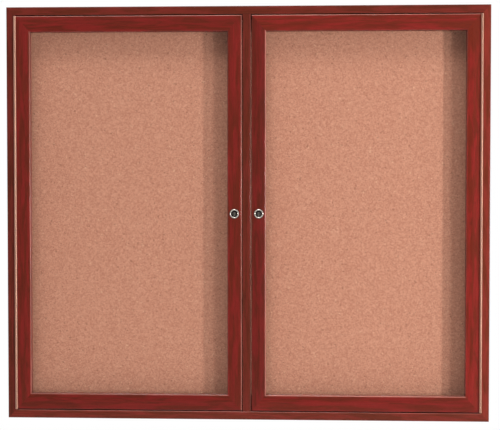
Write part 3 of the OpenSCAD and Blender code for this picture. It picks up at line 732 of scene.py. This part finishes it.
rowTree, given, add = newTree("fixedOnPoints", {
    "Shape": "Object", "Lean": "Vector", "Spin": "Float", "Seed": "Int", "Material": "Material"})
shape = add("GeometryNodeObjectInfo", {"Object": given["Shape"]})
spin = add("FunctionNodeRandomValue", {3: given["Spin"], "Seed": given["Seed"]}, data_type="FLOAT")
lean = add("FunctionNodeEulerToRotation", {0: given["Lean"]})
ownTurn = add("FunctionNodeEulerToRotation", {0: add("ShaderNodeCombineXYZ", {"Z": spin.outputs[1]})})
setAs = add("FunctionNodeRotateRotation", {"Rotation": lean, "Rotate By": ownTurn}, rotation_space="LOCAL")
placed = add("GeometryNodeInstanceOnPoints", {
    "Points": given["Geometry"], "Instance": shape.outputs["Geometry"], "Rotation": setAs})
endTree(add, placed, given["Material"])


def setOnPoints(name, spots, shape, lean, material, seed):
    return growPiece(name, rowTree, pointMesh(spots), {
        "Shape": shape, "Lean": lean, "Spin": 2 * math.pi, "Seed": seed, "Material": material})


def threadShape(low, high, pitch, depth):
    def radiusAt(angle, radius, height):
        if not low <= height <= high:
            return radius
        turn = (height / pitch - angle / (2 * math.pi)) % 1
        return radius - depth * abs(2 * turn - 1)
    return radiusAt


# Shares of a screw: its point and thread depth of the shank's radius, its plain part of the length, and
# the cross recess of the head's radius
screwShares = {"point": 1.6, "tip": 0.7, "core": 0.55, "thread": 0.24, "plain": 0.3, "recessArm": 0.55,
               "recessWide": 0.11, "recessDeep": 0.75, "recessTaper": 0.35}


# A countersunk screw along -Z with its head on Z = 0, a cross recess and a thread on its lower part
def screwMesh(size):
    share = screwShares
    r, head, length, pitch = size["shank"] / 2, size["head"] / 2, size["length"], size["pitch"]
    low, high = -length + r * share["point"], -length * share["plain"]
    threadRows = round((high - low) / pitch * 4)    # four rows for each turn of the thread
    rows = [(0, 0.06), (head * 0.55, 0.05), (head - 0.12, 0), (head, -0.1), (head - 0.05, -0.22),
            (r, r - head), (r, high + 0.1)]
    rows += [(r, high + (low - high) * k / threadRows) for k in range(threadRows + 1)]
    rows += [(r * share["core"], -length + r * share["tip"]), (0, -length)]
    mesh = latheMesh(rows, 20, threadShape(low + 0.1, high - 0.1, pitch, r * share["thread"]))
    arm, wide, deep = [head * share[name] for name in ("recessArm", "recessWide", "recessDeep")]
    recess = bmesh.new()
    for quarter in (0, math.pi / 2):
        made = bmesh.ops.create_cube(recess, size=1)["verts"]
        for v in made:
            taper = 1 if v.co.z > 0 else share["recessTaper"]
            v.co = Vector((v.co.x * 2 * arm * taper, v.co.y * 2 * wide, (v.co.z - 0.35) * deep)) * mm
        bmesh.ops.rotate(recess, verts=made, cent=(0, 0, 0), matrix=Matrix.Rotation(quarter, 3, "Z"))
    bmesh.ops.recalc_face_normals(recess, faces=recess.faces)
    return carveMesh(mesh, meshOf(recess))


backScrew = {"shank": 3.5, "head": 7, "length": 30, "pitch": 1.4, "alongRails": 5, "alongSides": 4}
low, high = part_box("back_panel_screws")
insideX, insideZ = high.x / mm - backScrew["head"] / 2, high.z / mm - backScrew["head"] / 2
# The rows of screws end four members' widths from the board's sides, and six from its top and bottom
spanX, spanZ = cabinet["width"] - 8 * member, cabinet["height"] - 12 * member
across, up = backScrew["alongRails"], backScrew["alongSides"]
spots = [(spanX * (i / (across - 1) - 0.5), 0, s * insideZ) for s in (-1, 1) for i in range(across)]
spots += [(s * insideX, 0, spanZ * (i / (up - 1) - 0.5)) for s in (-1, 1) for i in range(up)]
screw = newObject("screw", screwMesh(backScrew))
piece = setOnPoints("backPanelScrews", spots, screw, (-math.pi / 2, 0, 0), zincSteel, seed=3)
keepPiece(piece, "cabinet", "zinc_steel", "back_panel_screws")

bumper = {"radius": 3.5, "thickness": 2.2, "doorMiddle": 262, "across": 231, "up": 433, "y": -48.5}
r, thick = bumper["radius"], bumper["thickness"]
disc = newObject("disc", latheMesh([(0, thick), (r - 0.9, thick), (r - 0.3, thick - 0.15), (r, thick - 0.6),
                                    (r - 0.05, 0.2), (r - 0.15, 0), (0, 0)], 32))
spots = [(s * bumper["doorMiddle"] + e * bumper["across"], bumper["y"], z * bumper["up"])
         for s in (-1, 1) for e in (-1, 1) for z in (-1, 1)]
piece = setOnPoints("stopBumpers", spots, disc, (math.pi / 2, 0, 0), felt, seed=5)
keepPiece(piece, "cabinet", "felt", "stop_bumpers")
dropObjects(screw, disc)
print("stage: back screws and bumpers set")


hinge = {"axisX": 514.25, "axisY": -72.6, "knuckle": 5.5, "bore": 3.1, "length": 874, "gap": 0.3, "count": 68,
         "leafFrom": 0.25, "leafTo": 1.25, "leafStart": 3.1, "leafEnd": 15.5, "overlap": 0.5, "seam": 0.2,
         "chamfer": 0.2, "chamferWidth": 0.955, "outerSteps": 34, "innerSteps": 22,
         "screwPitch": 50.8, "screws": 17, "screwAt": 9.4, "screwPlay": 0.05}
hingeScrew = {"shank": 2.8, "head": 5.4, "length": 12, "pitch": 1.1}
knucklePitch, halfHinge = hinge["length"] / hinge["count"], hinge["length"] / 2


# Section of one knuckle about the pin, with X to its own leaf and Y back: a rolled strip whose end comes
# round to the leaf again
def knuckleSection(toward):
    outer, inner = hinge["knuckle"] / 2, hinge["bore"] / 2
    leafIn, leafOut, seamX = hinge["leafFrom"], hinge["leafTo"], hinge["leafFrom"] - hinge["seam"]
    endY = hinge["leafStart"] + hinge["overlap"]
    startOut = math.degrees(math.acos(leafOut / outer))
    endOut = math.degrees(math.acos(seamX / outer)) - 360
    seamIn = math.degrees(math.acos(seamX / inner)) - 360
    startIn = math.degrees(math.acos(leafIn / inner))
    outline = [(leafOut, endY), *arc(outer, (0, 0), startOut, endOut, hinge["outerSteps"]),
               *arc(inner, (0, 0), seamIn, startIn, hinge["innerSteps"]), (leafIn, endY)]
    if toward < 0:
        return [(-x, y) for x, y in outline]
    return outline[::-1]


leafTree, given, add = newTree("pianoHingeLeaf", {
    "Pitch": "Float", "Gap": "Float", "Chamfer": "Float", "Chamfer Width": "Float", "Count": "Int",
    "First": "Float", "Leaf": "Object", "Holes": "Object", "Hole Tool": "Object", "Hole Turn": "Float",
    "Place": "Vector", "Material": "Material"})
# The knuckle's path has four points, so that its two ends can draw in over the chamfer
step = add("ShaderNodeMath", {0: add("GeometryNodeInputIndex"), 1: 1.5}, operation="SUBTRACT")
end = add("ShaderNodeMath", {0: step}, operation="SIGN")
away = add("ShaderNodeMath", {0: step}, operation="ABSOLUTE")
inside = add("ShaderNodeMath", {0: away, 1: 1.0}, operation="LESS_THAN")
length = add("ShaderNodeMath", {0: given["Pitch"], 1: given["Gap"]}, operation="SUBTRACT")
half = add("ShaderNodeMath", {0: length, 1: 0.5}, operation="MULTIPLY")
drawn = add("ShaderNodeMath", {0: inside, 1: given["Chamfer"]}, operation="MULTIPLY")
reach = add("ShaderNodeMath", {0: half, 1: drawn}, operation="SUBTRACT")
height = add("ShaderNodeMath", {0: reach, 1: end}, operation="MULTIPLY")
line = add("GeometryNodeMeshLine", {"Count": 4, "Offset": (0, 0, mm)})
stretched = add("GeometryNodeSetPosition", {
    "Geometry": line, "Position": add("ShaderNodeCombineXYZ", {"Z": height})})
width = add("ShaderNodeMapRange", {"Value": inside, "To Min": given["Chamfer Width"], "To Max": 1.0})
knuckle = add("GeometryNodeCurveToMesh", {
    "Curve": add("GeometryNodeMeshToCurve", {0: stretched}),
    "Profile Curve": add("GeometryNodeMeshToCurve", {0: given["Geometry"]}),
    "Scale": width, "Fill Caps": True})
twice = add("ShaderNodeMath", {0: given["Pitch"], 1: 2.0}, operation="MULTIPLY")
knuckleSpots = add("GeometryNodeMeshLine", {
    "Count": given["Count"], "Start Location": add("ShaderNodeCombineXYZ", {"Z": given["First"]}),
    "Offset": add("ShaderNodeCombineXYZ", {"Z": twice})})
knuckles = add("GeometryNodeRealizeInstances", {
    0: add("GeometryNodeInstanceOnPoints", {"Points": knuckleSpots, "Instance": knuckle})})
leaf = add("GeometryNodeObjectInfo", {"Object": given["Leaf"]})
whole = add("GeometryNodeMeshBoolean", {"Mesh 2": knuckles}, operation="UNION", solver="MANIFOLD")
leafTree.links.new(leaf.outputs["Geometry"], whole.inputs["Mesh 2"])    # a second link into the same socket
holeTool = add("GeometryNodeObjectInfo", {"Object": given["Hole Tool"]})
holeSpots = add("GeometryNodeObjectInfo", {"Object": given["Holes"]})
holeTurn = add("ShaderNodeCombineXYZ", {"Y": given["Hole Turn"]})
holes = add("GeometryNodeInstanceOnPoints", {
    "Points": holeSpots.outputs["Geometry"], "Instance": holeTool.outputs["Geometry"],
    "Rotation": add("FunctionNodeEulerToRotation", {0: holeTurn})})
pierced = add("GeometryNodeMeshBoolean",
              {"Mesh 1": whole, "Mesh 2": add("GeometryNodeRealizeInstances", {0: holes})},
              operation="DIFFERENCE", solver="MANIFOLD")
moved = add("GeometryNodeTransform", {"Geometry": pierced, "Translation": given["Place"]})
endTree(add, moved, given["Material"])

screwHeights = [(i - (hinge["screws"] - 1) / 2) * hinge["screwPitch"] for i in range(hinge["screws"])]
headHole, shankHole = [hingeScrew[size] / 2 + hinge["screwPlay"] for size in ("head", "shank")]
holeTool = newObject("holeTool", latheMesh([(0, 0.5), (headHole, 0.5), (headHole, 0),
                                            (shankHole, shankHole - headHole), (shankHole, -3), (0, -3)], 28))
screw = newObject("screw", screwMesh(hingeScrew))
for side, sign in (("left", -1), ("right", 1)):
    axis = Vector((sign * hinge["axisX"], hinge["axisY"], 0))
    for leafName, body, toward, first in (("frame", "cabinet", sign, 0), ("door", side + "_door", -sign, 1)):
        near, far = sorted((toward * hinge["leafFrom"], toward * hinge["leafTo"]))
        plate = newObject("plate", boxMesh([
            ((near, hinge["leafStart"], -halfHinge), (far, hinge["leafEnd"], halfHinge))], arris=0.12))
        face = toward * hinge["leafFrom"]
        spots = newObject("spots", pointMesh([(face, hinge["screwAt"], z) for z in screwHeights]))
        leafNode, screwNode = [f"{side}_hinge_{leafName}_{part}" for part in ("leaf", "screws")]
        lean = -toward * math.pi / 2
        values = {"Pitch": knucklePitch * mm, "Gap": hinge["gap"] * mm, "Chamfer": hinge["chamfer"] * mm,
                  "Chamfer Width": hinge["chamferWidth"], "Count": hinge["count"] // 2,
                  "First": (-halfHinge + (first + 0.5) * knucklePitch) * mm, "Leaf": plate, "Holes": spots,
                  "Hole Tool": holeTool, "Hole Turn": lean, "Place": axis * mm, "Material": satinBrass}
        section = sectionMesh(knuckleSection(toward))
        piece = growPiece(pieceName(leafNode), leafTree, section, values, sharpAngle=22)
        keepPiece(piece, body, "hinge_brass", leafNode)
        dropObjects(plate, spots)
        places = [(axis.x + face, axis.y + hinge["screwAt"], z) for z in screwHeights]
        piece = setOnPoints(pieceName(screwNode), places, screw, (0, lean, 0), satinBrass,
                            seed=11 + first + (2 if sign > 0 else 0))
        keepPiece(piece, body, "hinge_brass", screwNode)
dropObjects(holeTool, screw)
print("stage: hinges made")


lock = {"y": -70, "face": 10.8, "base": 0.8, "bead": 1.3, "beadAt": 8.7, "bore": 5.96, "headBore": 6.66,
        "barrel": 8.5, "flats": 7.5, "length": 24, "pitch": 1.0, "threadDepth": 0.45, "sunk": 1.2,
        "nutFlats": 21, "nut": 3, "doorBack": 19}
plug = {"radius": 5.9, "head": 6.6, "headBack": -1.1, "face": 1.0, "raised": 4.7, "ringFloor": -0.6,
        "back": -24.5, "spigot": 3.5, "spigotBack": -26.4, "keyWide": 2, "keyTall": 7.4, "keyDeep": 18,
        "wafers": 5, "waferPitch": 3, "waferWide": 6.7, "waferSlot": (-5.05, -3.95), "screwHole": 2.05}
cam = {"halfWide": 7.5, "long": 26, "corner": 3, "front": -24.5, "back": -26.5, "squareHole": 7.3,
       "arris": 0.2}
camScrew = {"flats": 7, "corner": 4.04, "top": -29.1, "washer": 5.5, "seat": -26.5, "shank": 2, "end": -18.8}


# The body is threaded from just behind the face to its end, and both the barrel and the thread have flats
def lockBodyMesh():
    bore, headBore, barrel, face, sunk, end, pitch = [
        lock[name] for name in ("bore", "headBore", "barrel", "face", "sunk", "length", "pitch")]
    rows = [(bore, -end), (bore, -sunk), (headBore, -sunk), (headBore, 0.35), (6.78, 0.5), (7.15, 0.6),
            *arc(lock["bead"], (lock["beadAt"], lock["base"]), 195, 0, 16),
            (10.3, 0.8), (10.6, 0.72), (10.76, 0.52), (face, 0.3), (face, 0), (barrel, 0), (barrel, -2)]
    threaded = end - 3
    threadRows = round(threaded / pitch * 4)
    rows += [(barrel, -2.2 - threaded * k / threadRows) for k in range(threadRows + 1)]
    rows += [(barrel - 0.5, -end)]
    thread = threadShape(-end + 0.9, -2.4, pitch, lock["threadDepth"])

    def radiusAt(angle, radius, height):
        if height > -0.01 or radius < headBore + 0.1:
            return radius
        return min(thread(angle, radius, height), lock["flats"] / max(abs(math.cos(angle)), 1e-6))
    return latheMesh(rows, 72, radiusAt)


def hexRadius(flats, angle):
    return flats / 2 / math.cos((angle + math.pi / 6) % (math.pi / 3) - math.pi / 6)


def nutMesh():
    top, half, bore = -lock["doorBack"], lock["nutFlats"] / 2, lock["barrel"] + 0.05
    low, corner = top - lock["nut"], half / math.cos(math.pi / 6)
    rows = [(bore, top), (half * 0.97, top), (half, top - 0.02), (corner, top - 0.7), (corner, low + 0.7),
            (half, low + 0.02), (half * 0.97, low), (bore + 0.3, low), (bore, low + 0.3)]
    return latheMesh(rows, 72, lambda angle, radius, height: min(radius, hexRadius(lock["nutFlats"], angle)))


def plugMesh():
    radius, head, headBack, face, raised, ring, back = [
        plug[name] for name in ("radius", "head", "headBack", "face", "raised", "ringFloor", "back")]
    mesh = latheMesh([
        (0, face), (raised - 0.5, face), (raised - 0.12, 0.9), (raised, 0.6), (raised, -0.5),
        (raised + 0.1, ring), (head - 0.1, ring), (head, -0.7), (head, headBack), (radius, headBack),
        (radius, back + 0.2), (radius - 0.2, back), (0, back)], 64)
    side, wide, tall = plug["spigot"], plug["keyWide"] / 2, plug["keyTall"] / 2
    spigot = [((-side, -side, plug["spigotBack"]), (side, side, back + 1))]
    keyway = [((-wide, -tall, -plug["keyDeep"]), (wide, tall, 3))]
    low, high = plug["waferSlot"]
    half, pitch = plug["waferWide"] / 2, plug["waferPitch"]
    slots = [((-half, -12, low - pitch * i), (half, 12, high - pitch * i)) for i in range(plug["wafers"])]
    hole = [(0, -19), (plug["screwHole"], -19), (plug["screwHole"], -28), (0, -28)]
    mesh = carveMesh(mesh, boxMesh(spigot, arris=0.1), "UNION")
    for tool in (boxMesh(keyway), boxMesh(slots), latheMesh(hole, 32)):
        mesh = carveMesh(mesh, tool)
    return mesh


def camMesh():
    wide, long, tip, half = cam["halfWide"], cam["long"], cam["corner"], cam["squareHole"] / 2
    outline = [*arc(wide, (0, 0), 0, 180, 24), *arc(tip, (tip - wide, tip - long), 180, 270, 6),
               *arc(tip, (wide - tip, tip - long), 270, 360, 6)]
    square = [(-half, -half), (half, -half), (half, half), (-half, half)]
    return plateMesh([outline, square], cam["back"], cam["front"], cam["arris"])


# The hexagon stands on a washer face
def camScrewMesh():
    top, corner, washer, seat = [camScrew[name] for name in ("top", "corner", "washer", "seat")]
    shank, end = camScrew["shank"], camScrew["end"]
    rows = [(0, top), (3.3, top), (3.5, -29.05), (corner, -28.7), (corner, -27.4), (5.2, -27.3),
            (washer, -27.1), (washer, -26.6), (washer - 0.1, seat), (shank, seat), (shank, end - 0.4),
            (shank - 0.3, end), (0, end)]
    return latheMesh(rows, 72, lambda angle, radius, height: (
        min(radius, hexRadius(camScrew["flats"], angle)) if height < -27.35 else radius))


lockPieces = {"body": ("door", lockBodyMesh, polishedChrome, "lock_chrome"),
              "nut": ("door", nutMesh, polishedChrome, "lock_chrome"),
              "plug": ("lock", plugMesh, polishedChrome, "lock_chrome"),
              "cam": ("lock", camMesh, zincSteel, "zinc_steel"),
              "cam_screw": ("lock", camScrewMesh, zincSteel, "zinc_steel")}
for side, sign in (("left", -1), ("right", 1)):
    place = Matrix.Translation(Vector((sign * lockHole["x"], lock["y"], 0)) * mm)
    for part, (rider, makeMesh, material, slot) in lockPieces.items():
        node = f"{side}_lock_{part}"
        mesh = makeMesh()
        mesh.transform(place @ Matrix.Rotation(math.pi / 2, 4, "X"))
        keepPiece(paintPiece(newObject(pieceName(node), mesh), material), f"{side}_{rider}", slot, node)
print("stage: locks made")


finishes = {"mullion_dowels": rawBirch, "cabinet_corner_splines": rawBirch, "back_panel": hardboard,
            "backing_board": fibreboard}
for side in ("left", "right"):
    finishes.update({side + "_hinge_pin": zincSteel, side + "_door_corner_splines": rawBirch,
                     side + "_door_bead_brads": wireSteel, side + "_lock_wafers": waferBrass})
for node, material in finishes.items():
    for slot in nodes[node].material_slots:
        slot.material = material
print("stage: kept nodes painted,", len(finishes))


studio = {"skyRim": 0.24, "skyFront": 0.24, "floorZ": -0.95, "floorRadius": 2.3, "floorFade": 1.1,
          "floorLift": 0.35}
white = hexColour("#ffffff")
# Matt pale floor that runs out into the white of the background
floorMaterial, add = newMaterial("paleFloor")
matt = add("ShaderNodeBsdfPrincipled", {"Base Color": hexColour("#eeeeec"), "Roughness": 0.9})
place = add("ShaderNodeTexCoord").outputs["Object"]
away = add("ShaderNodeVectorMath", {0: place}, operation="LENGTH").outputs["Value"]
fade = add("ShaderNodeMapRange",
           {"Value": away, "From Min": studio["floorFade"], "From Max": studio["floorRadius"],
            "To Min": studio["floorLift"]}, interpolation_type="SMOOTHSTEP")
ray = add("ShaderNodeLightPath").outputs["Is Camera Ray"]
faded = add("ShaderNodeMath", {0: fade, 1: ray}, operation="MULTIPLY")
blank = add("ShaderNodeEmission", {"Color": white, "Strength": 1.0})
mixed = add("ShaderNodeMixShader", {0: faded, 1: matt, 2: blank})
add("ShaderNodeOutputMaterial", {"Surface": mixed})
radius = studio["floorRadius"] / mm
floor = newObject("floor", latheMesh([(0, 0), (radius, 0), (radius, -20), (0, -20)], 96))
floor.location.z = studio["floorZ"]
paintPiece(floor, floorMaterial)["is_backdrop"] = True

world = bpy.data.worlds.new("studioWorld")
scene.world = world
world.use_nodes = True
world.node_tree.nodes.clear()
add = partial(addNode, world.node_tree)
ray = add("ShaderNodeLightPath")
toward = add("ShaderNodeSeparateXYZ", {0: add("ShaderNodeTexCoord").outputs["Generated"]})
# Diffuse light comes mostly from the front
frontal = add("ShaderNodeMath", {0: toward.outputs["Y"], 1: -1.0}, operation="MULTIPLY", use_clamp=True)
squared = add("ShaderNodeMath", {0: frontal, 1: 2.0}, operation="POWER")
diffuse = add("ShaderNodeMapRange", {"Value": squared, "To Min": studio["skyRim"],
                                     "To Max": studio["skyRim"] + studio["skyFront"]})
upRight = add("ShaderNodeMath", {0: toward.outputs["X"], 1: toward.outputs["Z"]}, operation="MAXIMUM")
# Reflections see pale walls round the board and a dim room in front, brighter walls above and to the
# right, and the white background behind. Each wall is a direction, where it starts and ends, and its
# strength at both
walls = [(frontal, 0.65, 0.93, 0.85, 0.1), (upRight, 0.35, 0.85, 0.0, 1.4),
         (toward.outputs["Y"], 0.1, 0.5, 0.0, 0.7)]
mirrored = 0.0
for direction, start, end, startStrength, endStrength in walls:
    wall = add("ShaderNodeMapRange", {
        "Value": direction, "From Min": start, "From Max": end, "To Min": startStrength,
        "To Max": endStrength}, interpolation_type="SMOOTHSTEP")
    mirrored = add("ShaderNodeMath", {0: mirrored, 1: wall}, operation="MAXIMUM")
level = add("ShaderNodeMix", {0: ray.outputs["Is Glossy Ray"], 2: diffuse, 3: mirrored}, data_type="FLOAT")
seen = add("ShaderNodeMath",
           {0: ray.outputs["Is Camera Ray"], 1: ray.outputs["Is Transmission Ray"]}, operation="MAXIMUM")
level = add("ShaderNodeMix", {0: seen, 2: level, 3: 1.0}, data_type="FLOAT")
sky = add("ShaderNodeBackground", {"Color": white, "Strength": level})
add("ShaderNodeOutputWorld", {"Surface": sky})

# The key and soft lamps stand on the right and throw the stiles' shadows, the top lamp the rails'.
# Matt lamps don't show in reflections. The soft lamp stays below the board's top, which it would whiten
lamps = {"keyLamp": {"place": (2.75, -2.4, 0.1), "size": 0.23, "power": 51, "matt": True},
         "softLamp": {"place": (3.75, -5.4, -0.1), "size": 1.1, "power": 98, "matt": False},
         "topLamp": {"place": (-0.4, -3.5, 4.85), "size": 2.45, "power": 116, "matt": False},
         "backLamp": {"place": (-1.8, 4.4, 1.6), "size": 1.4, "power": 70, "matt": True}}
for name, setting in lamps.items():
    lamp = bpy.data.lights.new(name, "AREA")
    lamp.shape = "DISK"
    lamp.size = setting["size"]
    lamp.energy = setting["power"]
    holder = newObject(name, lamp)
    holder.location = setting["place"]
    holder.rotation_euler = (-Vector(setting["place"])).to_track_quat("-Z", "Y").to_euler()
    holder.visible_camera = False
    holder.visible_glossy = not setting["matt"]

view = {"azimuth": 2.87, "elevation": 1.886, "distance": 3.0, "lens": 95.6, "aim": (0.0041, 0, -0.005)}
azimuth, elevation = math.radians(view["azimuth"]), math.radians(view["elevation"])
out = Vector((math.sin(azimuth) * math.cos(elevation), -math.cos(azimuth) * math.cos(elevation),
              math.sin(elevation)))
camera = newObject("camera", bpy.data.cameras.new("camera"))
camera.data.lens = view["lens"]
camera.data.sensor_width = 36
camera.location = Vector(view["aim"]) + out * view["distance"]
camera.rotation_euler = (-out).to_track_quat("-Z", "Y").to_euler()
scene.camera = camera
scene.view_settings.view_transform = "Standard"
print("stage: floor, light and camera set")

low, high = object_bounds()
